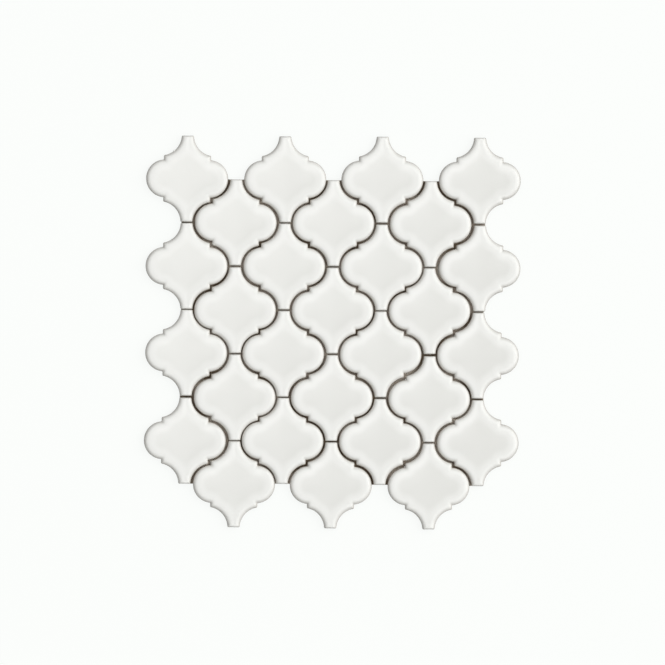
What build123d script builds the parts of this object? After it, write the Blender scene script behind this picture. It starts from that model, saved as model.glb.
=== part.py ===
from build123d import *
import os
from math import ceil, degrees, hypot, sqrt
from random import Random

# A sheet of lantern mosaic: glazed ceramic tiles laid with open joints on a glass-fibre net.
# It lies face up. The origin is at the middle of its underside, X runs across the columns of
# tiles and Y along them. Sizes are in millimetres.

# Lattice of the tiles
column_count = 7
tiles_per_column = 4
column_pitch = 32.3  # between the centre lines of neighbouring columns
row_pitch = 57.8  # between the centres of neighbouring tiles in a column

# Joints, left open for the grout
side_joint = 1.15  # between a lobe and the coves that it nests in
end_joint = 0.7  # between the flat ends of two tiles in a column

# Outline of a tile, at its widest line
neck_width = 8.0  # across each flat end
lobe_offset = 14.6  # from the tile's centre to the centre of each lobe

# Section of a tile, from its back to its face
tile_thickness = 5.6
wall_draft = 0.2  # how far the back's edge is set in from the widest line
rim_width = 2.1  # the cushioned edge of the face, from the widest line inwards
rim_drop = 2.0

# Laying by hand: how far a tile strays from its place, as shares of the joints
across_share = 0.3  # of the side joint
along_share = 0.43  # of the end joint
swing_share = 0.25  # of the side joint, at the tip of a lobe, when the tile is turned
laying_seed = 93262

# Net: strands along the columns, and strands across them on top
strand_pitch = 5.0
warp_width = 1.1
weft_width = 0.9
strand_thickness = 0.2
net_margin = 3.0  # a cut end lies at least this far inside a tile's edge
shortest_strand = 7.5
cut_step = 0.5  # strands are cut to a multiple of this

# Places and sizes that follow from those above
stagger = row_pitch / 2  # how much lower every second column is laid
cove_x = column_pitch - lobe_offset  # centre of each cove, where the next tile has its lobe
cove_y = row_pitch / 2
cove_radius = hypot(cove_x - neck_width / 2, end_joint / 2)
lobe_radius = cove_radius - side_joint
tile_section = [
    (wall_draft, 0),
    (0, tile_thickness - rim_drop),
    (rim_width, tile_thickness),
]
stray_across = across_share * side_joint
stray_along = along_share * end_joint
stray_turn = degrees(swing_share * side_joint / (lobe_offset + lobe_radius))
joint_bridge = side_joint / 2 + stray_across  # tiles grown by this leave no joint between them
warp_z = strand_thickness / 2
weft_z = warp_z + strand_thickness
net_thickness = 2 * strand_thickness
sheet_reach = max(column_pitch * column_count, row_pitch * (tiles_per_column + 1)) / 2


def outline_sizes(inset):
    """Radii and half extents of a tile's outline, set in all round by a distance."""
    lobe = lobe_radius - inset
    cove = cove_radius + inset
    step_x = (column_pitch - side_joint) / 2 - inset
    end_y = (row_pitch - end_joint) / 2 - inset
    return lobe, cove, step_x, end_y


def mirrored(point, side, end):
    """A point of the outline's first quadrant, carried to another."""
    return (point[0] * side, point[1] * end)


def tile_ring(inset, z):
    """The tile's outline at one height: a lobe each side, four coves and two flat ends."""
    lobe, cove, step_x, end_y = outline_sizes(inset)
    tip = (lobe_offset + lobe, 0)
    step_low = (step_x, sqrt(lobe**2 - (step_x - lobe_offset) ** 2))
    step_high = (step_x, cove_y - sqrt(cove**2 - (cove_x - step_x) ** 2))
    neck = (cove_x - sqrt(cove**2 - (cove_y - end_y) ** 2), end_y)
    chord_x = (step_high[0] + neck[0]) / 2 - cove_x
    chord_y = (step_high[1] + neck[1]) / 2 - cove_y
    bulge = cove / hypot(chord_x, chord_y)
    cove_middle = (cove_x + chord_x * bulge, cove_y + chord_y * bulge)
    edges = []
    for side in (1, -1):
        lobe_points = [mirrored(step_low, side, -1), mirrored(tip, side, 1), mirrored(step_low, side, 1)]
        edges.append(ThreePointArc(*lobe_points))
        for end in (1, -1):
            corner = mirrored(step_high, side, end)
            edges.append(Line(mirrored(step_low, side, end), corner))
            edges.append(ThreePointArc(corner, mirrored(cove_middle, side, end), mirrored(neck, side, end)))
    for end in (1, -1):
        edges.append(Line(mirrored(neck, 1, end), mirrored(neck, -1, end)))
    return make_face(edges).moved(Location((0, 0, z)))


def tile():
    """One tile, pressed as a single piece: a drafted wall, a cushioned rim and a flat face."""
    return loft([tile_ring(inset, z) for inset, z in tile_section], ruled=True)


def lay_tiles():
    """Name, place and turn of every tile, column by column from the left and from the top down."""
    hand = Random(laying_seed)
    laid = []
    for column in range(column_count):
        for row in range(tiles_per_column):
            x = (column - (column_count - 1) / 2) * column_pitch
            y = ((tiles_per_column - 1) / 2 - row) * row_pitch + stagger / 2
            if column % 2:
                y -= stagger
            x += hand.uniform(-stray_across, stray_across)
            y += hand.uniform(-stray_along, stray_along)
            turn = hand.uniform(-stray_turn, stray_turn)
            laid.append((f"tile_column{column + 1}_row{row + 1}", x, y, turn))
    return laid


def tile_half_height(across, inset):
    """Half the height of a tile's outline, set in by a distance, at one place across it."""
    lobe, cove, step_x, end_y = outline_sizes(inset)
    if across > lobe_offset + lobe:
        return None
    if across > step_x:
        return sqrt(lobe**2 - (across - lobe_offset) ** 2)
    if cove_x - across > cove:
        return end_y
    return min(end_y, cove_y - sqrt(cove**2 - (cove_x - across) ** 2))


def behind_a_tile(x, y, inset, laid):
    """Whether a point lies behind some tile's outline, set in by a distance or grown by it."""
    for _, tile_x, tile_y, _ in laid:
        half_height = tile_half_height(abs(x - tile_x), inset)
        if half_height is not None and abs(y - tile_y) <= half_height:
            return True
    return False


def hidden(line, along, width, lengthwise, inset, laid):
    """Whether both sides of a strand are behind tiles, or joints, at one place along it."""
    sides = [(line - width / 2, along), (line + width / 2, along)]
    if not lengthwise:
        sides = [(y, x) for x, y in sides]
    return all(behind_a_tile(x, y, inset, laid) for x, y in sides)


def strand_stretches(line, width, lengthwise, laid):
    """Start and end of each stretch of the strand on one line, from tile to tile."""
    steps = ceil(sheet_reach / cut_step)
    stretches = []
    stretch = None
    for step in range(-steps, steps + 1):
        along = step * cut_step
        if not hidden(line, along, width, lengthwise, -joint_bridge, laid):
            stretch = None
        elif hidden(line, along, width, lengthwise, net_margin, laid):
            if stretch is None:
                stretch = [along, along]
                stretches.append(stretch)
            stretch[1] = along
    return [(start, end) for start, end in stretches if end - start >= shortest_strand]


def net_layer(width, z, lengthwise, laid):
    """One layer of the net: strands side by side, along the columns or across them."""
    lines = ceil(sheet_reach / strand_pitch)
    layer = []
    for number in range(-lines, lines + 1):
        line = number * strand_pitch
        for start, end in strand_stretches(line, width, lengthwise, laid):
            middle = (start + end) / 2
            if lengthwise:
                strand = Box(width, end - start, strand_thickness).moved(Location((line, middle, z)))
            else:
                strand = Box(end - start, width, strand_thickness).moved(Location((middle, line, z)))
            layer.append(strand)
    return Compound(layer)


os.makedirs("parts", exist_ok=True)
laid_tiles = lay_tiles()
pressed_tile = tile()
for name, x, y, turn in laid_tiles:
    export_step(pressed_tile.moved(Location((x, y, net_thickness), (0, 0, turn))), f"parts/{name}.step")
export_step(net_layer(warp_width, warp_z, True, laid_tiles), "parts/net_warp.step")
export_step(net_layer(weft_width, weft_z, False, laid_tiles), "parts/net_weft.step")
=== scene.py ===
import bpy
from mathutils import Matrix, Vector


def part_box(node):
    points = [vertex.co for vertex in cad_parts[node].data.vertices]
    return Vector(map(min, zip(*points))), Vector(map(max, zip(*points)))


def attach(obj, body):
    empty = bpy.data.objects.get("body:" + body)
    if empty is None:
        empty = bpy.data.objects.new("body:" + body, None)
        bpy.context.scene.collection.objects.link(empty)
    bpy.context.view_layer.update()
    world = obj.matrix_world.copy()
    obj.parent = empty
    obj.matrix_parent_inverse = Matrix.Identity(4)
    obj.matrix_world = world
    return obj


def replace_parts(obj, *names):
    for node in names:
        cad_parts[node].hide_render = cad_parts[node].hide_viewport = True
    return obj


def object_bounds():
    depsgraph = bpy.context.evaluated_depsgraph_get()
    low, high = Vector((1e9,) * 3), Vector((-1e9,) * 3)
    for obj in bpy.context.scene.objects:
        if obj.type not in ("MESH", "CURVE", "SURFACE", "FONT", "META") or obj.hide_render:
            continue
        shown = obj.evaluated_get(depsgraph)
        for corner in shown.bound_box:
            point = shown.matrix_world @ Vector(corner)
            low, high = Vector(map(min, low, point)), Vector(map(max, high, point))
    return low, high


bl_info = {
    "name": "Lantern mosaic sheet",
    "version": (1, 0, 0),
    "blender": (4, 5, 0),
    "location": "3D View > Sidebar > Mosaic",
    "description": "Glazed lantern tiles laid by hand on a glass-fibre net, with open joints",
    "category": "Add Mesh",
}

from math import atan2, cos, exp, hypot, pi, radians, sin, sqrt
from random import Random

import bmesh
import bpy
from bpy.props import FloatProperty, FloatVectorProperty, IntProperty, PointerProperty
from mathutils import Matrix, Vector, noise

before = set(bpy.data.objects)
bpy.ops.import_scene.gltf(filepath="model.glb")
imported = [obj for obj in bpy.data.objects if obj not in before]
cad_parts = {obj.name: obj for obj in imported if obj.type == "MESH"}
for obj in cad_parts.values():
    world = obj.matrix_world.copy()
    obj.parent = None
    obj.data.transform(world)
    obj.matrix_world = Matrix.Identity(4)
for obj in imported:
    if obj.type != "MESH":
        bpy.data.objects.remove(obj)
cad_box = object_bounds()

ACROSS, ALONG, UP = Vector((1, 0, 0)), Vector((0, 1, 0)), Vector((0, 0, 1))
WHOLE = (0, 1)  # a range from nothing to all
MERGE_DISTANCE, CUT_DISTANCE = 1e-6, 1e-7  # points nearer than these are one point


# Sizes and colours

class MosaicTileSettings(bpy.types.PropertyGroup):
    columns: IntProperty(
        name="Columns", description="Columns of tiles in the sheet", default=7, min=1)
    rows: IntProperty(
        name="Tiles in a column", description="Tiles in each column", default=4, min=1)
    column_pitch: FloatProperty(
        name="Column pitch", description="Between the centre lines of neighbouring columns",
        default=0.0323, unit="LENGTH")
    row_pitch: FloatProperty(
        name="Row pitch", description="Between the centres of neighbouring tiles in a column",
        default=0.0578, unit="LENGTH")
    side_joint: FloatProperty(
        name="Side joint", description="Between a lobe and the cove that it nests in",
        default=0.00115, unit="LENGTH")
    end_joint: FloatProperty(
        name="End joint", description="Between the flat ends of two tiles",
        default=0.0007, unit="LENGTH")
    neck_width: FloatProperty(
        name="Neck width", description="Across each flat end", default=0.008, unit="LENGTH")
    lobe_offset: FloatProperty(
        name="Lobe offset", description="From the tile's centre to the centre of each lobe",
        default=0.0146, unit="LENGTH")
    thickness: FloatProperty(
        name="Thickness", description="From the back to the middle of the face",
        default=0.0056, unit="LENGTH")
    widest_line: FloatProperty(
        name="Widest line", description="Height of the widest line above the back",
        default=0.0031, unit="LENGTH")
    glaze_line: FloatProperty(
        name="Glaze line", description="Height above the back at which the glaze ends on the wall",
        default=0.0021, unit="LENGTH")
    wall_draft: FloatProperty(
        name="Wall draft", description="How far the foot of the wall is set in",
        default=0.0002, unit="LENGTH")
    across_share: FloatProperty(
        name="Stray across",
        description="Largest stray across the columns, as a share of the side joint",
        default=0.3, subtype="FACTOR")
    along_share: FloatProperty(
        name="Stray along",
        description="Largest stray along the columns, as a share of the end joint",
        default=0.43, subtype="FACTOR")
    swing_share: FloatProperty(
        name="Swing", description="Largest swing of a lobe's tip, as a share of the side joint",
        default=0.25, subtype="FACTOR")
    laying_seed: IntProperty(
        name="Laying", description="Which laying of the sheet this is", default=93262)
    back_cell: FloatProperty(
        name="Back cell", description="Pitch of the ribs pressed into the back",
        default=0.0042, unit="LENGTH")
    back_rib: FloatProperty(
        name="Back rib", description="Half the width of each rib on the back",
        default=0.00045, unit="LENGTH")
    back_relief: FloatProperty(
        name="Back relief", description="Depth of the pressed cells between the ribs",
        default=0.00035, unit="LENGTH")
    glaze_colour: FloatVectorProperty(
        name="Glaze", description="Colour of the glaze", subtype="COLOR", size=4, min=0, max=1,
        default=(0.842, 0.844, 0.808, 1))
    # Partly the brown body under thin glaze, partly painted shade: this colour darkens the rim's
    # last millimetre or two, where it rolls over.
    thin_glaze_and_shade_colour: FloatVectorProperty(
        name="Thin glaze", description="Colour of the glaze where it runs thin over the edge",
        subtype="COLOR", size=4, min=0, max=1, default=(0.42, 0.375, 0.32, 1))
    # Painted highlight: a paler band of glaze colour a few millimetres inside the rim, standing in
    # for the lights' reflection on the pillowed face.
    glaze_highlight_colour: FloatVectorProperty(
        name="Pooled glaze", description="Colour of the glaze where it has pooled inside the rim",
        subtype="COLOR", size=4, min=0, max=1, default=(0.902, 0.904, 0.872, 1))
    # Partly the body's own brown, partly painted shade: it is made this dark so that the tile walls
    # in the open joints read as shaded.
    body_and_joint_shade_colour: FloatVectorProperty(
        name="Body", description="Colour of the fired body under the glaze",
        subtype="COLOR", size=4, min=0, max=1, default=(0.27, 0.22, 0.165, 1))


class MosaicNetSettings(bpy.types.PropertyGroup):
    fibre_colour: FloatVectorProperty(
        name="Glass fibre", description="Colour of the coated glass fibre",
        subtype="COLOR", size=4, min=0, max=1, default=(0.72, 0.74, 0.68, 1))
    strand_pitch: FloatProperty(
        name="Strand pitch", description="Between neighbouring strands of the net",
        default=0.005, unit="LENGTH")
    warp_yarn: FloatVectorProperty(
        name="Warp yarn",
        description="Width and thickness of each of the two yarns in a strand of the warp",
        size=2, default=(0.00056, 0.00017), unit="LENGTH")
    weft_yarn: FloatVectorProperty(
        name="Weft yarn", description="Width and thickness of a strand of the weft",
        size=2, default=(0.0011, 0.00015), unit="LENGTH")
    # Partly the glue's own colour, partly painted shade: it is made this dark so that the bottoms
    # of the open joints read as shaded.
    glue_and_joint_shade_colour: FloatVectorProperty(
        name="Glue", description="Colour of the dried glue", subtype="COLOR", size=4, min=0, max=1,
        default=(0.22, 0.165, 0.11, 1))
    thin_glue_colour: FloatVectorProperty(
        name="Thin glue", description="Colour of the glue where it has spread thin over the net",
        subtype="COLOR", size=4, min=0, max=1, default=(0.60, 0.53, 0.45, 1))
    glue_lap: FloatProperty(
        name="Glue lap", description="How far the glue reaches under the tiles beside a joint",
        default=0.0016, unit="LENGTH")
    glue_overrun: FloatProperty(
        name="Glue overrun",
        description="How far each line of glue runs on past the corners of the tiles",
        default=0.0009, unit="LENGTH")
    glue_rise: FloatProperty(
        name="Glue rise",
        description="How far the glue stands up in a joint, above the tiles' backs",
        default=0.0004, unit="LENGTH")


class MosaicStageSettings(bpy.types.PropertyGroup):
    floor_colour: FloatVectorProperty(
        name="Floor", description="Colour of the floor", subtype="COLOR", size=4, min=0, max=1,
        default=(0.977, 0.996, 0.977, 1))
    picture_width: FloatProperty(
        name="Picture width", description="Width that the camera takes in, at the tiles' faces",
        default=0.4401, unit="LENGTH")
    camera_distance: FloatProperty(
        name="Camera distance", description="From the camera to the sheet",
        default=3.0, unit="LENGTH")
    camera_tilt: FloatProperty(
        name="Camera tilt", description="Lean of the camera to the sheet's left, off the vertical",
        default=radians(1.5), subtype="ANGLE")
    camera_roll: FloatProperty(
        name="Camera roll", description="Turn of the camera about its own line of sight",
        default=radians(0.49), subtype="ANGLE")
    room_strength: FloatProperty(
        name="Room light", description="Strength of the light from overhead", default=1.515)
    key_power: FloatProperty(
        name="Key light", description="Power of the soft light on the right",
        default=138, unit="POWER")


# Pieces of a mesh

def only_vertices(geometry):
    """The vertices of what an operator has made."""
    return [part for part in geometry if isinstance(part, bmesh.types.BMVert)]


def drawn_to(bm, vertex, place):
    """A new vertex at a place, joined to an earlier one by an edge."""
    drawn = bmesh.ops.extrude_vert_indiv(bm, verts=[vertex])["verts"][0]
    drawn.co = place
    return drawn


def swung(bm, vertex, centre, angle, steps):
    """The last vertex of an arc that a vertex draws about a centre."""
    swing = bmesh.ops.spin(
        bm, geom=[vertex], cent=centre, axis=UP, angle=angle, steps=steps, use_merge=False)
    return only_vertices(swing["geom_last"])[0]


def finished(bm, name, materials):
    """A piece made of a bmesh, riding on the sheet."""
    mesh = bpy.data.meshes.new(name)
    bm.to_mesh(mesh)
    bm.free()
    for material in materials:
        mesh.materials.append(material)
    piece = bpy.data.objects.new(name, mesh)
    bpy.context.scene.collection.objects.link(piece)
    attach(piece, "root")
    return piece


# Outline and face of a tile

CORNER_RUN = 0.0013  # piece of an arc beside each corner, left in one for the rounding to take
CORNER_ROUNDING = 0.00075  # at the corners that stand out, by the steps and the flat ends
HOLLOW_ROUNDING = 0.0004  # where the steps run into the lobes
HOLLOW_GROWTH = 0.3  # share of a ring's inset that widens that
ARC_STEPS, CORNER_STEPS = 15, 4
COVE_RIDGE, SIDE_RIDGE, END_RIDGE = 0.004, 0.0012, 0.0015  # how widely ridges are rounded off
END_CRISPNESS = 2.8  # how much tighter the rim rolls over at the flat ends
ROLL, SHOULDER, CROWN = (0.00036, 0.00015), (0.0016, 0.0009), (0.00052, 0.0055)  # drop, reach
RIM_INSETS = (0.0, 0.00005, 0.00013, 0.00025, 0.00042, 0.00065, 0.00095, 0.00135, 0.0019, 0.0027)
TILE_REACH = 0.032  # no part of a tile lies further than this from its centre lines
FACE_GRID = 0.0022  # pitch of the face's mesh inside the rim
GLAZE_LIP = 0.00012  # height in which the wall steps from the glaze to the bare body
BACK_BORDER = 0.0004  # plain border round the pressed back
CELL_DRAFT = 0.00015  # slope at the sides of a pressed cell
SMALLEST_CELL = 0.3  # share of a whole cell; what is smaller stays plain
HEIGHT_TOLERANCE = 1e-5
TO_MILLIMETRES = 1000


class Outline:
    """The tile's outline, set in all round by a distance."""

    def __init__(self, sizes, inset=0.0):
        self.cove_x = sizes.column_pitch - sizes.lobe_offset
        self.cove_y = sizes.row_pitch / 2
        full_cove = hypot(self.cove_x - sizes.neck_width / 2, sizes.end_joint / 2)
        self.lobe_offset = sizes.lobe_offset
        self.lobe = full_cove - sizes.side_joint - inset
        self.cove = full_cove + inset
        self.step_x = (sizes.column_pitch - sizes.side_joint) / 2 - inset
        self.end_y = (sizes.row_pitch - sizes.end_joint) / 2 - inset
        self.step_low = sqrt(self.lobe ** 2 - (self.step_x - self.lobe_offset) ** 2)
        self.step_high = self.cove_y - sqrt(self.cove ** 2 - (self.cove_x - self.step_x) ** 2)
        self.neck_x = self.cove_x - sqrt(self.cove ** 2 - (self.cove_y - self.end_y) ** 2)
        self.lobe_sweep = atan2(self.step_low, self.step_x - self.lobe_offset)
        self.step_angle = atan2(self.step_high - self.cove_y, self.step_x - self.cove_x)
        self.neck_angle = atan2(self.end_y - self.cove_y, self.neck_x - self.cove_x)


def soft_min(one, other, reach):
    """The smaller of two distances, with the ridge between them rounded off."""
    overlap = max(reach - abs(one - other), 0) / reach
    return min(one, other) - overlap * overlap * reach / 4


def edge_distance(outline, x, y):
    """How far inside the widest line a point of the face lies."""
    x, y = abs(x), abs(y)
    side = hypot(outline.step_x - x, max(outline.step_low - y, 0, y - outline.step_high))
    if atan2(y, x - outline.lobe_offset) < outline.lobe_sweep:
        side = min(side, outline.lobe - hypot(x - outline.lobe_offset, y))
    near_cove = hypot(outline.cove_x - x, outline.cove_y - y) - outline.cove
    far_cove = hypot(outline.cove_x + x, outline.cove_y - y) - outline.cove
    coves = soft_min(near_cove, far_cove, COVE_RIDGE)
    end = END_CRISPNESS * (outline.end_y - y)
    distance = soft_min(soft_min(side, coves, SIDE_RIDGE), end, END_RIDGE)
    return max(distance, 0)


def face_drop(distance):
    """How far the glazed face lies below its crown, at a distance from the widest line."""
    return sum(drop * exp(-distance / reach) for drop, reach in (ROLL, SHOULDER, CROWN))


def outline_ring(bm, outline, z, corner, hollow):
    """One closed ring of the outline, its corners rounded by two radii, and its vertices."""
    before = set(bm.verts)
    lobe_centre = Vector((outline.lobe_offset, 0, z))
    cove_centre = Vector((outline.cove_x, outline.cove_y, z))
    tip = bm.verts.new((outline.lobe_offset + outline.lobe, 0, z))
    sweep = outline.lobe_sweep - CORNER_RUN / outline.lobe
    lobe_end = swung(bm, tip, lobe_centre, sweep, ARC_STEPS)
    step_low = drawn_to(bm, lobe_end, (outline.step_x, outline.step_low, z))
    step_high = drawn_to(bm, step_low, (outline.step_x, outline.step_high, z))
    start = outline.step_angle % (2 * pi) - CORNER_RUN / outline.cove
    sweep = outline.neck_angle % (2 * pi) + CORNER_RUN / outline.cove - start
    cove_start = cove_centre + outline.cove * Vector((cos(start), sin(start), 0))
    cove_end = swung(bm, drawn_to(bm, step_high, cove_start), cove_centre, sweep, ARC_STEPS)
    neck = drawn_to(bm, cove_end, (outline.neck_x, outline.end_y, z))
    drawn_to(bm, neck, (0, outline.end_y, z))
    for vertices, radius in (([step_high, neck], corner), ([step_low], hollow)):
        bmesh.ops.bevel(
            bm, geom=vertices, offset=radius, offset_type="OFFSET", segments=CORNER_STEPS,
            profile=0.5, affect="VERTICES", material=-1)
    for axis in ("X", "Y"):
        quarter = [v for v in bm.verts if v not in before]
        edges = {edge for v in quarter for edge in v.link_edges}
        bmesh.ops.mirror(bm, geom=quarter + list(edges), axis=axis, merge_dist=MERGE_DISTANCE)
    return [v for v in bm.verts if v not in before]


def ring_edges(ring):
    """The edges between the vertices of a ring."""
    members = set(ring)
    touching = {edge for v in ring for edge in v.link_edges}
    return [edge for edge in touching if set(edge.verts) <= members]


def pressed_tile(sizes):
    """One tile about its own centre: pressed back, drafted wall, rolled rim and crowned face."""
    bm = bmesh.new()
    widest = Outline(sizes)
    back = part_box("net_weft")[1].z
    crown = back + sizes.thickness + face_drop(1)

    def ring(inset, z, hollow=HOLLOW_ROUNDING):
        return outline_ring(bm, Outline(sizes, inset), z, CORNER_ROUNDING, hollow)

    rims = [ring(inset, back, HOLLOW_ROUNDING + inset * HOLLOW_GROWTH) for inset in RIM_INSETS]
    for inset, rim in zip(RIM_INSETS, rims):
        for v in rim:
            inside = 0 if inset == 0 else edge_distance(widest, v.co.x, v.co.y)
            v.co.z = crown - face_drop(inside)
    draft, widest_z, glaze_z = sizes.wall_draft, back + sizes.widest_line, back + sizes.glaze_line
    # Inset and height of each ring down the wall, with the glaze's edge part of the way down
    wall = [ring(inset, z) for inset, z in (
        (0.02 * draft, widest_z - 0.0003),
        (0.1 * draft, widest_z - 0.0008),
        (0.3 * draft, glaze_z),
        (0.36 * draft, glaze_z - GLAZE_LIP),
        (0.9 * draft, back + 0.0006),
        (draft + 0.0001, back + 0.0002),
        (draft + 0.0003, back))]
    loops = wall[::-1] + rims
    for lower, upper in zip(loops, loops[1:]):
        bmesh.ops.bridge_loops(bm, edges=ring_edges(lower) + ring_edges(upper))

    face = bmesh.ops.contextual_create(bm, geom=ring_edges(rims[-1]))["faces"]
    face = ruled_off(bm, face, FACE_GRID)
    for v in {v for f in face for v in f.verts}:
        v.co.z = crown - face_drop(edge_distance(widest, v.co.x, v.co.y))

    foot = bmesh.ops.contextual_create(bm, geom=ring_edges(wall[-1]))["faces"]
    bmesh.ops.inset_region(bm, faces=foot, thickness=BACK_BORDER, use_even_offset=True)
    cells = ruled_off(bm, foot, sizes.back_cell)
    large = [cell for cell in cells if cell.calc_area() > SMALLEST_CELL * sizes.back_cell ** 2]
    bmesh.ops.inset_individual(bm, faces=large, thickness=sizes.back_rib, use_even_offset=True)
    bmesh.ops.inset_individual(bm, faces=large, thickness=CELL_DRAFT, depth=-sizes.back_relief)

    bmesh.ops.recalc_face_normals(bm, faces=bm.faces)
    for f in bm.faces:
        glazed = f.calc_center_median().z > glaze_z - GLAZE_LIP / 2
        f.material_index = 0 if glazed else 1
        f.smooth = glazed or abs(f.normal.z) < 0.5
    inside = bm.verts.layers.float.new("inside")
    for v in bm.verts:
        if v.co.z > widest_z - HEIGHT_TOLERANCE:
            v[inside] = edge_distance(widest, v.co.x, v.co.y) * TO_MILLIMETRES
    return bm


DRIP_TILE = "tile_column1_row1"
DRIP_ANGLE = radians(-50)  # where round the cove it hangs
DRIP_RADIUS, DRIP_SHAPE = 0.0007, (0.9, 0.75, 1.3, 1)
DRIP_SUNK, DRIP_HEIGHT = 0.00005, 0.0006  # its middle, inside the outline and above the widest line
DRIP_GLAZE = 2.5  # its glaze is coloured as it is this many millimetres inside the rim, painted highlight included


def glaze_drip(bm, sizes):
    """A bead of glaze that has run over the rim, in the tile's upper left cove."""
    outline = Outline(sizes)
    radius = outline.cove + DRIP_SUNK
    place = Vector((
        radius * cos(DRIP_ANGLE) - outline.cove_x, radius * sin(DRIP_ANGLE) + outline.cove_y,
        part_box("net_weft")[1].z + sizes.widest_line + DRIP_HEIGHT))
    turned = Matrix.Rotation(DRIP_ANGLE, 4, UP) @ Matrix.Diagonal(DRIP_SHAPE)
    bead = bmesh.ops.create_icosphere(
        bm, subdivisions=3, radius=DRIP_RADIUS, matrix=Matrix.Translation(place) @ turned)["verts"]
    inside = bm.verts.layers.float["inside"]
    for v in bead:
        v[inside] = DRIP_GLAZE
        for face in v.link_faces:
            face.smooth = True


def ruled_off(bm, faces, pitch):
    """What faces are cut into by lines at a pitch, both ways, with a cell in the middle."""
    count = int(TILE_REACH / pitch) + 1
    lines = [side * (pitch / 2 + number * pitch) for number in range(count) for side in (1, -1)]
    for direction in (ACROSS, ALONG):
        for line in lines:
            edges = {edge for f in faces for edge in f.edges}
            vertices = {v for f in faces for v in f.verts}
            cut = bmesh.ops.bisect_plane(
                bm, geom=list(faces) + list(edges) + list(vertices), dist=CUT_DISTANCE,
                plane_co=direction * line, plane_no=direction)
            faces = [part for part in cut["geom"] if isinstance(part, bmesh.types.BMFace)]
    return faces


def laid_tiles(sizes):
    """Name, place and turn of every tile, as they were laid by hand."""
    hand = Random(sizes.laying_seed)
    across = sizes.across_share * sizes.side_joint
    along = sizes.along_share * sizes.end_joint
    swing = sizes.swing_share * sizes.side_joint / (sizes.lobe_offset + Outline(sizes).lobe)
    stagger = sizes.row_pitch / 2
    for column in range(sizes.columns):
        for row in range(sizes.rows):
            x = (column - (sizes.columns - 1) / 2) * sizes.column_pitch
            y = ((sizes.rows - 1) / 2 - row) * sizes.row_pitch + stagger / 2
            y -= stagger * (column % 2)
            x += hand.uniform(-across, across)
            y += hand.uniform(-along, along)
            yield f"tile_column{column + 1}_row{row + 1}", x, y, hand.uniform(-swing, swing)


# Finishes

def finish_material(name):
    """A new material, its node tree and its shader."""
    material = bpy.data.materials.new(name)
    material.use_nodes = True
    tree = material.node_tree
    return material, tree, tree.nodes["Principled BSDF"]


def grain(tree, place, scale, detail=2.0):
    """A noise on the sheet's own coordinates."""
    texture = tree.nodes.new("ShaderNodeTexNoise")
    texture.inputs["Scale"].default_value = scale
    texture.inputs["Detail"].default_value = detail
    tree.links.new(place, texture.inputs["Vector"])
    return texture.outputs["Fac"]


def spread(tree, value, old, new=WHOLE):
    """A value carried from one range to another, and held inside it."""
    node = tree.nodes.new("ShaderNodeMapRange")
    for end, level in zip(("From Min", "From Max", "To Min", "To Max"), (*old, *new)):
        node.inputs[end].default_value = level
    tree.links.new(value, node.inputs["Value"])
    return node.outputs["Result"]


def blended(tree, factor, low, high):
    """A colour between two, each a colour or another node's output."""
    node = tree.nodes.new("ShaderNodeMix")
    node.data_type = "RGBA"
    tree.links.new(factor, node.inputs["Factor"])
    for socket, colour in ((node.inputs[6], low), (node.inputs[7], high)):
        if isinstance(colour, bpy.types.NodeSocket):
            tree.links.new(colour, socket)
        else:
            socket.default_value = colour
    return node.outputs[2]


def facing(tree, direction, axis):
    """How far a direction points along an axis."""
    node = tree.nodes.new("ShaderNodeVectorMath")
    node.operation = "DOT_PRODUCT"
    node.inputs[1].default_value = axis
    tree.links.new(direction, node.inputs[0])
    return node.outputs["Value"]


def calculated(tree, operation, value, other):
    """The result of one sum on a value and another value or number."""
    node = tree.nodes.new("ShaderNodeMath")
    node.operation = operation
    tree.links.new(value, node.inputs[0])
    if isinstance(other, bpy.types.NodeSocket):
        tree.links.new(other, node.inputs[1])
    else:
        node.inputs[1].default_value = other
    return node.outputs[0]


def relief(tree, height, distance, under=None):
    """A fine relief in a surface, over another where there is one."""
    node = tree.nodes.new("ShaderNodeBump")
    node.inputs["Distance"].default_value = distance
    tree.links.new(height, node.inputs["Height"])
    if under is not None:
        tree.links.new(under, node.inputs["Normal"])
    return node.outputs["Normal"]


def stepped(tree, value, stops):
    """A value led smoothly through stops, each a place from 0 to 1 and a level."""
    node = tree.nodes.new("ShaderNodeValToRGB")
    ramp = node.color_ramp
    ramp.interpolation = "EASE"
    while len(ramp.elements) < len(stops):
        ramp.elements.new(0.5)
    for element, (place, level) in zip(ramp.elements, stops):
        element.position = place
        element.color = (level, level, level, 1)
    tree.links.new(value, node.inputs["Fac"])
    return node.outputs["Color"]


def on_the_sheet(tree):
    """Places in the sheet's own coordinates."""
    return tree.nodes.new("ShaderNodeTexCoord").outputs["Object"]


def shaded(colour, share):
    """A colour at a share of its brightness."""
    return tuple(channel * share for channel in colour[:3]) + (1,)


GLAZE_REACH = 10  # millimetres inside the rim that the two tables below cover
GLAZE_COVER_AND_SHADE = (0, 0.0), (0.03, 0.55), (0.1, 0.86), (0.22, 1.0)  # share of that reach, cover; the thin glaze by the edge is partly painted shade
GLAZE_HIGHLIGHT_BAND = (0.15, 0.0), (0.32, 1.0), (0.46, 1.0), (0.92, 0.0)  # share of that reach, strength of the painted highlight
GLAZE_IOR = 1.58
FILAMENT_GRAIN = 9000, 260, 3000  # across a strand, along it and through it


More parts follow.
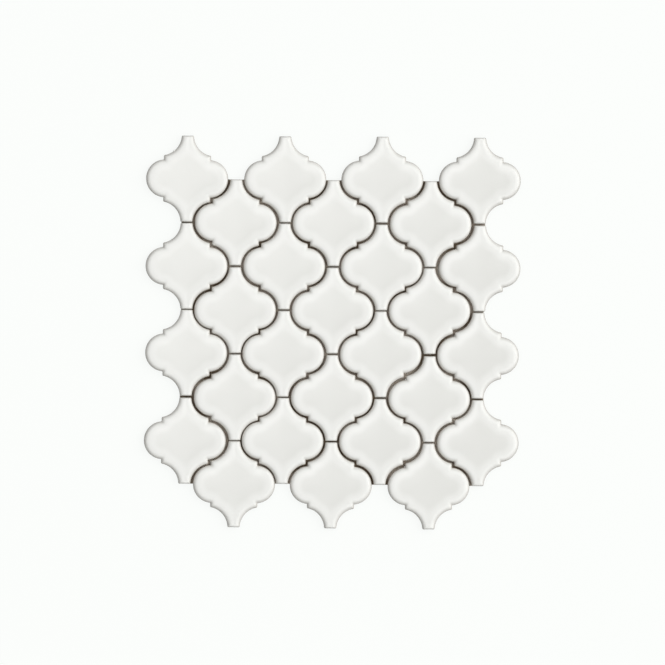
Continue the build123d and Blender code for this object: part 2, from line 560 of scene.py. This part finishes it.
def glaze_finish(sizes):
    """White glaze: thin and brownish over the edge, which also paints shade there, and paler in a
    band inside the rim, a painted highlight.
    """
    material, tree, shader = finish_material("white_glaze")
    place = on_the_sheet(tree)
    drift = spread(tree, grain(tree, place, 22), (0.35, 0.65))
    fired = blended(tree, drift, shaded(sizes.glaze_colour, 0.985), sizes.glaze_colour)
    inside = tree.nodes.new("ShaderNodeAttribute")
    inside.attribute_name = "inside"
    depth = spread(tree, inside.outputs["Fac"], (0, GLAZE_REACH))
    # Thin glaze, darker towards the rim's edge, partly painted shade
    thinned_and_shaded = blended(tree, stepped(tree, depth, GLAZE_COVER_AND_SHADE), sizes.thin_glaze_and_shade_colour, fired)
    # Painted highlight: a paler band of glaze inside the rim
    glaze = blended(tree, stepped(tree, depth, GLAZE_HIGHLIGHT_BAND), thinned_and_shaded, sizes.glaze_highlight_colour)
    tree.links.new(glaze, shader.inputs["Base Color"])
    gloss = spread(tree, grain(tree, place, 160), (0.3, 0.7), (0.10, 0.16))
    tree.links.new(gloss, shader.inputs["Roughness"])
    waves = relief(tree, grain(tree, place, 95, 1), 0.00004)
    specks = relief(tree, grain(tree, place, 900), 0.000004, waves)
    tree.links.new(specks, shader.inputs["Normal"])
    shader.inputs["IOR"].default_value = GLAZE_IOR
    return material


def body_finish(sizes):
    """Bare fired clay, speckled and rough, its dark brown partly painted shade for the walls in the
    joints.
    """
    material, tree, shader = finish_material("fired_body")
    place = on_the_sheet(tree)
    specks = spread(tree, grain(tree, place, 2600), (0.35, 0.65))
    colour = blended(tree, specks, shaded(sizes.body_and_joint_shade_colour, 0.82), shaded(sizes.body_and_joint_shade_colour, 1.1))
    tree.links.new(colour, shader.inputs["Base Color"])
    tree.links.new(relief(tree, grain(tree, place, 3500, 3), 0.00006), shader.inputs["Normal"])
    shader.inputs["Roughness"].default_value = 0.86
    return material


def fibre_finish(name, colour, lengthwise):
    """Coated glass fibre, its filaments drawn out along the strand."""
    material, tree, shader = finish_material(name)
    mapping = tree.nodes.new("ShaderNodeMapping")
    fine, drawn_out, flat = FILAMENT_GRAIN
    stretch = (fine, drawn_out, flat) if lengthwise else (drawn_out, fine, flat)
    mapping.inputs["Scale"].default_value = stretch
    tree.links.new(on_the_sheet(tree), mapping.inputs["Vector"])
    filaments = grain(tree, mapping.outputs["Vector"], 1)
    tone = spread(tree, filaments, (0.3, 0.7))
    fibre = blended(tree, tone, shaded(colour, 0.72), shaded(colour, 1.08))
    tree.links.new(fibre, shader.inputs["Base Color"])
    tree.links.new(relief(tree, filaments, 0.0002), shader.inputs["Normal"])
    shader.inputs["Roughness"].default_value = 0.5
    return material


def glue_finish(settings):
    """Dried glue, its dark brown partly painted shade at the bottom of the joints, and pale where
    it has spread thin.
    """
    material, tree, shader = finish_material("dried_glue")
    place = on_the_sheet(tree)
    tone = spread(tree, grain(tree, place, 260), (0.3, 0.7))
    colour = settings.glue_and_joint_shade_colour
    # Partly painted shade: the dark glue darkens the bottoms of the joints
    dark_glue = blended(tree, tone, shaded(colour, 0.7), shaded(colour, 1.15))
    thin = spread(tree, grain(tree, place, 34, 1), (0.42, 0.58))
    glue = blended(tree, thin, dark_glue, settings.thin_glue_colour)
    tree.links.new(glue, shader.inputs["Base Color"])
    tree.links.new(relief(tree, grain(tree, place, 420), 0.00025), shader.inputs["Normal"])
    shader.inputs["Roughness"].default_value = 0.45
    return material


# Net

YARN_SIDES = 5
WARP_STEPS, WEFT_STEPS = 4, 2  # to each pitch of the strands
WEFT_WAVE = 0.00003  # how far the weft rises and falls between the yarns of the warp
YARN_CLEARANCE = 0.00001  # between the warp's lowest point and the sheet's underside
HALF_WOVEN = 0.15  # strands are woven this far from the middle, and then cut


def yarn(bm, section, length, steps, course):
    """A flat yarn along Y, drawn out in steps, each of its points moved by its course."""
    earlier = set(bm.verts)
    width, thickness = section
    shape = Matrix.Diagonal((width, 1, thickness, 1)) @ Matrix.Rotation(pi / 2, 4, ACROSS)
    tube = bmesh.ops.create_cone(
        bm, segments=YARN_SIDES, radius1=0.5, radius2=0.5, depth=length, cap_ends=False,
        matrix=shape)["verts"]
    edges = {edge for v in tube for edge in v.link_edges}
    sides = [edge for edge in edges if edge.calc_length() > length / 2]
    bmesh.ops.subdivide_edges(bm, edges=sides, cuts=steps - 1, use_grid_fill=True)
    for v in [v for v in bm.verts if v not in earlier]:
        across, up = course(v.co.y)
        v.co.x += across
        v.co.z += up


def strand_boxes(node):
    """Lowest and highest corner of every strand in a layer of the net."""
    bm = bmesh.new()
    bm.from_mesh(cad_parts[node].data)
    bmesh.ops.remove_doubles(bm, verts=bm.verts, dist=MERGE_DISTANCE)
    reached = set()
    for first in bm.verts:
        if first in reached:
            continue
        reached.add(first)
        strand = [first]
        for v in strand:
            for edge in v.link_edges:
                other = edge.other_vert(v)
                if other not in reached:
                    reached.add(other)
                    strand.append(other)
        low, high = (
            Vector([pick(v.co[axis] for v in strand) for axis in range(3)]) for pick in (min, max))
        yield low, high
    bm.free()


def cut_to_length(long_strand, start, end):
    """A copy of a long strand, cut off at both ends and closed there."""
    strand = long_strand.copy()
    for place, side in ((start, -1), (end, 1)):
        bmesh.ops.bisect_plane(
            strand, geom=strand.verts[:] + strand.edges[:] + strand.faces[:], dist=CUT_DISTANCE,
            plane_co=(0, place, 0), plane_no=(0, side, 0), clear_outer=True)
    ends = [edge for edge in strand.edges if edge.is_boundary]
    bmesh.ops.holes_fill(strand, edges=ends, sides=0)
    return strand


def layer_of_strands(node, long_strand, lengthwise):
    """A layer of the net: the long strand cut to each strand's length and laid in its place."""
    layer = bmesh.new()
    for low, high in strand_boxes(node):
        if lengthwise:
            strand = cut_to_length(long_strand, low.y, high.y)
            place = Matrix.Translation(((low.x + high.x) / 2, 0, 0))
        else:
            strand = cut_to_length(long_strand, low.x, high.x)
            middle = Matrix.Translation((0, (low.y + high.y) / 2, 0))
            place = middle @ Matrix.Rotation(-pi / 2, 4, UP)
        bmesh.ops.transform(strand, matrix=place, verts=strand.verts)
        cut = bpy.data.meshes.new("strand")
        strand.to_mesh(cut)
        strand.free()
        layer.from_mesh(cut)
        bpy.data.meshes.remove(cut)
    bmesh.ops.recalc_face_normals(layer, faces=layer.faces)
    for face in layer.faces:
        face.smooth = len(face.verts) == 4
    return layer


# Glue

GLUE_CLEARANCE = 0.00002  # between the glue beside a joint and the tiles' backs
GLUE_FOOT = 0.00004  # how far the glue's underside lies above the weft's
GLUE_WAVES, WAVE_HEIGHT = 900, 0.00003  # how close the dried glue's waves are, and how high
COVE_STEPS = 24
END_INDENT = 0.0003  # where a line between flat ends stops short at the sheet's edge
STRAY_LIMIT = 0.002  # a tile lies nearer than this to its place in the lattice


class GlueLines:
    """Lines of glue along the joints between tiles, drawn out one by one."""

    def __init__(self, sizes, settings):
        self.bm = bmesh.new()
        self.sizes = sizes
        self.outline = Outline(sizes)
        self.overrun = settings.glue_overrun
        self.places = [Vector((x, y, 0)) for _, x, y, _ in laid_tiles(sizes)]
        low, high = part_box("net_weft")
        foot, top = low.z + GLUE_FOOT, high.z - GLUE_CLEARANCE
        half = sizes.side_joint / 2
        lap = half + settings.glue_lap
        self.section = [
            (-lap, foot), (-lap, top), (-half, top), (0, top + settings.glue_rise),
            (half, top), (lap, top), (lap, foot)]

    def has_tile(self, x, y):
        """Whether the sheet has a tile at a place of its lattice."""
        return any(hypot(x - place.x, y - place.y) < STRAY_LIMIT for place in self.places)

    def set_down(self, distance, turn=0):
        """The section of a line, at a distance from the origin and turned about it."""
        corners = [self.bm.verts.new((distance + across, 0, z)) for across, z in self.section]
        edges = [self.bm.edges.new(pair) for pair in zip(corners, corners[1:] + corners[:1])]
        bmesh.ops.transform(self.bm, matrix=Matrix.Rotation(turn, 4, UP), verts=corners)
        return corners, edges

    def draw_out(self, distance, length):
        """A straight line along Y, at a distance from the origin."""
        _, edges = self.set_down(distance)
        drawn = bmesh.ops.extrude_edge_only(self.bm, edges=edges)["geom"]
        bmesh.ops.translate(self.bm, verts=only_vertices(drawn), vec=(0, length, 0))

    def settle(self, matrix):
        """Moves what hasn't been moved before, and marks it."""
        fresh = [v for v in self.bm.verts if not v.tag]
        bmesh.ops.transform(self.bm, matrix=matrix, verts=fresh)
        for v in fresh:
            v.tag = True

    def run_round_cove(self, place, side, end):
        """A line along one of the four coves of the tile at a place."""
        outline = self.outline
        radius = outline.cove - self.sizes.side_joint / 2
        overrun = self.overrun / radius
        sweep = (outline.neck_angle - outline.step_angle) % (-2 * pi) - overrun
        if self.has_tile(place.x, place.y + end * self.sizes.row_pitch):
            sweep -= overrun
        corners, edges = self.set_down(radius, outline.step_angle + overrun)
        bmesh.ops.spin(
            self.bm, geom=corners + edges, cent=(0, 0, 0), axis=UP, angle=sweep, steps=COVE_STEPS,
            use_merge=False)
        cove = place + Vector((side * outline.cove_x, end * outline.cove_y, 0))
        self.settle(Matrix.Translation(cove) @ Matrix.Diagonal((side, end, 1, 1)))

    def run_past_step(self, place, end):
        """A line past one of the two right-hand steps of the tile at a place."""
        outline = self.outline
        length = outline.step_high - outline.step_low + 2 * self.overrun
        middle = (outline.step_high + outline.step_low) / 2
        self.draw_out(self.sizes.column_pitch / 2, length)
        self.settle(
            Matrix.Translation(place) @ Matrix.Translation((0, end * middle - length / 2, 0)))

    def run_between_ends(self, place):
        """A line along the upper flat end of the tile at a place."""
        sizes = self.sizes
        reach = []
        for side in (-1, 1):
            reach.append(sizes.neck_width / 2 - END_INDENT)
            if self.has_tile(place.x + side * sizes.column_pitch, place.y + sizes.row_pitch / 2):
                reach[-1] += 2 * self.overrun
        self.draw_out(sizes.row_pitch / 2, sum(reach))
        start = Matrix.Translation(place + Vector((reach[1], 0, 0)))
        self.settle(start @ Matrix.Rotation(pi / 2, 4, UP))

    def run_everywhere(self):
        """All lines of the sheet, wavy as they dried and closed at their ends."""
        sizes = self.sizes
        for place in self.places:
            for other in self.places:
                across, along = other.x - place.x, other.y - place.y
                beside = abs(abs(across) - sizes.column_pitch) < STRAY_LIMIT
                if beside and abs(abs(along) - sizes.row_pitch / 2) < STRAY_LIMIT:
                    side, end = (1 if across > 0 else -1), (1 if along > 0 else -1)
                    self.run_round_cove(place, side, end)
                    if side > 0:
                        self.run_past_step(place, end)
                elif abs(across) < STRAY_LIMIT and abs(along - sizes.row_pitch) < STRAY_LIMIT:
                    self.run_between_ends(place)
        for v in self.bm.verts:
            v.co.z += WAVE_HEIGHT * noise.noise(v.co * GLUE_WAVES)
            v.tag = False
        ends = [edge for edge in self.bm.edges if edge.is_boundary]
        bmesh.ops.holes_fill(self.bm, edges=ends, sides=0)
        bmesh.ops.recalc_face_normals(self.bm, faces=self.bm.faces)
        return self.bm


# Stage

FLOOR_HALF_WIDTH = 2.5
FLOOR_GAP = 0.0001  # between the sheet's underside and the floor
FLOOR_GLOW = 0.9  # share of the floor's own even glow, where it is seen
FLOOR_UNSEEN, FLOOR_SEEN = (0.25, 0.25, 0.25, 1), (0.95, 0.95, 0.95, 1)  # under it and in sight
ROOM_AXIS, ROOM_LEAST = (0.2, 0.04, 0.979), 0.1  # towards the room's brightest side; least light
OVERHEAD_AXIS = (-19, 10, 0)  # from the dim side of the patch overhead to its bright side
OVERHEAD_RUN, OVERHEAD_LIGHT = (-1.5, 1.7), (0.1, 3.6)
PATCH_AXIS, PATCH_EDGE = (0.113, 0, 0.9936), (0.975, 0.990)  # its middle; from its rim to full
KEY_PLACE, KEY_SIZE = (4.0, 0.9, 2.8), 5.0
SENSOR_WIDTH = 36  # millimetres
CLIP_END = 20


# Operators

LAYING_TOLERANCE = 0.0002  # between a tile and the middle of its solid


class MOSAIC_OT_tiles(bpy.types.Operator):
    """Press one tile, glaze it and lay the whole sheet with it"""
    bl_idname = "mosaic.tiles"
    bl_label = "Tiles"

    def execute(self, context):
        sizes = context.scene.mosaic_tiles
        materials = [glaze_finish(sizes), body_finish(sizes)]
        pressed = pressed_tile(sizes)
        for name, x, y, turn in laid_tiles(sizes):
            low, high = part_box(name)
            if hypot((low.x + high.x) / 2 - x, (low.y + high.y) / 2 - y) > LAYING_TOLERANCE:
                raise ValueError(f"{name} doesn't lie where the sheet has it")
            bm = pressed.copy()
            if name == DRIP_TILE:
                glaze_drip(bm, sizes)
            place = Matrix.Translation((x, y, 0)) @ Matrix.Rotation(turn, 4, UP)
            bmesh.ops.transform(bm, matrix=place, verts=bm.verts)
            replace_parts(finished(bm, name + "_glazed", materials), name)
        pressed.free()
        return {"FINISHED"}


class MOSAIC_OT_net(bpy.types.Operator):
    """Weave the glass-fibre net, its warp in twisted pairs of yarns about a flat weft"""
    bl_idname = "mosaic.net"
    bl_label = "Net"

    def execute(self, context):
        net = context.scene.mosaic_net
        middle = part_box("net_weft")[0].z
        lift = middle - net.warp_yarn[1] / 2 - YARN_CLEARANCE
        swing = net.warp_yarn[0] / 2
        pitches = 2 * int(HALF_WOVEN / net.strand_pitch)
        length = pitches * net.strand_pitch

        def warp_course(side):
            return lambda place: (side * swing * sin(pi * place / net.strand_pitch),
                                  middle + side * lift * cos(pi * place / net.strand_pitch))

        def weft_course(place):
            return 0, middle + WEFT_WAVE * cos(pi * place / net.strand_pitch)

        warp = bmesh.new()
        for side in (1, -1):
            yarn(warp, net.warp_yarn, length, pitches * WARP_STEPS, warp_course(side))
        weft = bmesh.new()
        yarn(weft, net.weft_yarn, length, pitches * WEFT_STEPS, weft_course)
        for name, node, strand, lengthwise in (
                ("warp_yarns", "net_warp", warp, True), ("weft_yarns", "net_weft", weft, False)):
            fibre = fibre_finish(name + "_fibre", net.fibre_colour, lengthwise)
            layer = layer_of_strands(node, strand, lengthwise)
            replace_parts(finished(layer, name, [fibre]), node)
            strand.free()
        return {"FINISHED"}


class MOSAIC_OT_glue(bpy.types.Operator):
    """Run the glue along the joints, where it holds the net to the tiles"""
    bl_idname = "mosaic.glue"
    bl_label = "Glue"

    def execute(self, context):
        settings = context.scene.mosaic_net
        lines = GlueLines(context.scene.mosaic_tiles, settings).run_everywhere()
        finished(lines, "glue_lines", [glue_finish(settings)])
        return {"FINISHED"}


class MOSAIC_OT_stage(bpy.types.Operator):
    """Set the pale floor, the soft lights and the camera"""
    bl_idname = "mosaic.stage"
    bl_label = "Stage"

    def execute(self, context):
        settings = context.scene.mosaic_stage
        self.lay_floor(context, settings)
        self.light(context, settings)
        self.place_camera(context, settings)
        context.scene.view_settings.view_transform = "Standard"
        return {"FINISHED"}

    def lay_floor(self, context, settings):
        """A pale floor that looks evenly lit and lights the sheet only a little."""
        bm = bmesh.new()
        bmesh.ops.create_grid(bm, x_segments=1, y_segments=1, size=FLOOR_HALF_WIDTH)
        bmesh.ops.translate(bm, verts=bm.verts, vec=(0, 0, -FLOOR_GAP))
        mesh = bpy.data.meshes.new("floor")
        bm.to_mesh(mesh)
        bm.free()
        floor = bpy.data.objects.new("floor", mesh)
        context.scene.collection.objects.link(floor)
        material, tree, shader = finish_material("pale_floor")
        mesh.materials.append(material)
        shader.inputs["Roughness"].default_value = 0.9
        glow = tree.nodes.new("ShaderNodeEmission")
        glow.inputs["Color"].default_value = settings.floor_colour
        mix = tree.nodes.new("ShaderNodeMixShader")
        rays = tree.nodes.new("ShaderNodeLightPath").outputs
        seen = calculated(tree, "MAXIMUM", rays["Is Camera Ray"], rays["Is Glossy Ray"])
        seen = calculated(tree, "MAXIMUM", seen, rays["Is Transmission Ray"])
        tree.links.new(blended(tree, seen, FLOOR_UNSEEN, FLOOR_SEEN), shader.inputs["Base Color"])
        tree.links.new(calculated(tree, "MULTIPLY", seen, FLOOR_GLOW), mix.inputs["Fac"])
        tree.links.new(shader.outputs[0], mix.inputs[1])
        tree.links.new(glow.outputs[0], mix.inputs[2])
        tree.links.new(mix.outputs[0], tree.nodes["Material Output"].inputs["Surface"])

    def light(self, context, settings):
        """A room with a bright patch overhead, and one large soft light on the right."""
        world = bpy.data.worlds.new("room")
        context.scene.world = world
        world.use_nodes = True
        tree = world.node_tree
        background = tree.nodes["Background"]
        background.inputs["Color"].default_value = (1, 1, 1, 1)
        direction = tree.nodes.new("ShaderNodeTexCoord").outputs["Generated"]
        dome = calculated(tree, "MAXIMUM", facing(tree, direction, ROOM_AXIS), ROOM_LEAST)
        dome = calculated(tree, "POWER", dome, 2)
        dome = calculated(tree, "MULTIPLY", dome, settings.room_strength)
        slope = facing(tree, direction, OVERHEAD_AXIS)
        overhead = spread(tree, slope, OVERHEAD_RUN, OVERHEAD_LIGHT)
        patch = spread(tree, facing(tree, direction, PATCH_AXIS), PATCH_EDGE)
        overhead = calculated(tree, "MULTIPLY", overhead, patch)
        dome = calculated(tree, "MULTIPLY", dome, spread(tree, patch, WHOLE, (1, 0)))
        both = calculated(tree, "ADD", overhead, dome)
        tree.links.new(both, background.inputs["Strength"])
        lamp = bpy.data.lights.new("key_light", "AREA")
        lamp.size = KEY_SIZE
        lamp.energy = settings.key_power
        light = bpy.data.objects.new("key_light", lamp)
        light.location = KEY_PLACE
        light.rotation_euler = Vector(KEY_PLACE).to_track_quat("Z", "Y").to_euler()
        context.scene.collection.objects.link(light)

    def place_camera(self, context, settings):
        """A camera far above the sheet, looking almost straight down."""
        camera = bpy.data.cameras.new("camera")
        camera.sensor_width = SENSOR_WIDTH
        camera.lens = SENSOR_WIDTH * settings.camera_distance / settings.picture_width
        camera.clip_end = CLIP_END
        view = bpy.data.objects.new("camera", camera)
        lean = Matrix.Rotation(-settings.camera_tilt, 4, ALONG)
        roll = Matrix.Rotation(settings.camera_roll, 4, UP)
        faces = Matrix.Translation((0, 0, cad_box[1].z))
        away = Matrix.Translation((0, 0, settings.camera_distance))
        view.matrix_world = faces @ lean @ roll @ away
        context.scene.collection.objects.link(view)
        context.scene.camera = view


class MOSAIC_PT_pieces(bpy.types.Panel):
    """The pieces of the mosaic sheet"""
    bl_idname = "MOSAIC_PT_pieces"
    bl_label = "Lantern mosaic sheet"
    bl_space_type = "VIEW_3D"
    bl_region_type = "UI"
    bl_category = "Mosaic"

    def draw(self, context):
        for piece in PIECES:
            self.layout.operator(piece.bl_idname)


PIECES = (MOSAIC_OT_tiles, MOSAIC_OT_net, MOSAIC_OT_glue, MOSAIC_OT_stage)
SETTINGS = {
    "mosaic_tiles": MosaicTileSettings,
    "mosaic_net": MosaicNetSettings,
    "mosaic_stage": MosaicStageSettings,
}


def register():
    for settings in SETTINGS.values():
        bpy.utils.register_class(settings)
    for piece in PIECES + (MOSAIC_PT_pieces,):
        bpy.utils.register_class(piece)
    for name, settings in SETTINGS.items():
        setattr(bpy.types.Scene, name, PointerProperty(type=settings))


def unregister():
    for name in SETTINGS:
        delattr(bpy.types.Scene, name)
    for known in (MOSAIC_PT_pieces,) + PIECES + tuple(SETTINGS.values()):
        bpy.utils.unregister_class(known)


def main():
    register()
    bpy.ops.mosaic.tiles()
    bpy.ops.mosaic.net()
    bpy.ops.mosaic.glue()
    bpy.ops.mosaic.stage()


if __name__ == "__main__":
    main()
